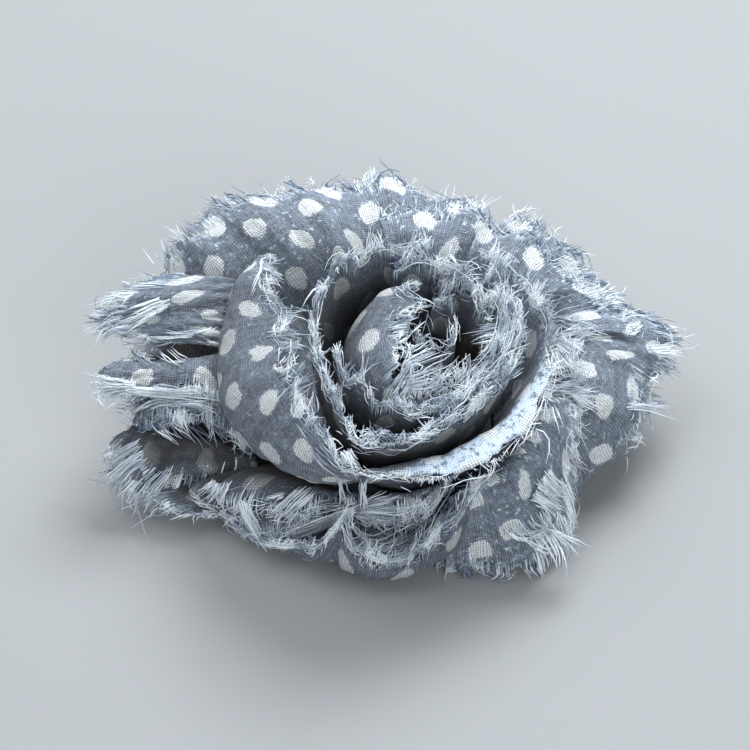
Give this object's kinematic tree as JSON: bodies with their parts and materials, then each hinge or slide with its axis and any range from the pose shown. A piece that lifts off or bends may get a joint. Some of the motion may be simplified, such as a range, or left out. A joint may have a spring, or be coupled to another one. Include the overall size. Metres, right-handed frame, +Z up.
{
  "type": "flower clip",
  "caption": "Rose of frayed, dotted chiffon, coiled at its heart and ruffled round its edge, sewn to a round foot on a plain hair and brooch clip.",
  "frame": {"origin": "on the flat face that the clip lies on, under the middle of the flower's foot", "axes": "+Z up from the face it lies on, -Y the flower's front, to which it leans, and +X its right"},
  "size_m": [0.0739, 0.0512, 0.0306],
  "materials": {
    "clip_metal": "satin",
    "foot_cloth": "matte",
    "chiffon": "matte"
  },
  "bodies": {
    "root": {"clip": "clip_metal", "sewn_foot": "foot_cloth", "heart": "chiffon", "inner_turn": "chiffon", "third_turn": "chiffon", "second_turn": "chiffon", "outer_turn": "chiffon", "upper_front_ruffle": "chiffon", "upper_back_ruffle": "chiffon", "back_petal": "chiffon", "left_ruffle": "chiffon", "front_ruffle": "chiffon", "right_ruffle": "chiffon", "side_ruffle": "chiffon"}
  },
  "joints": []
}
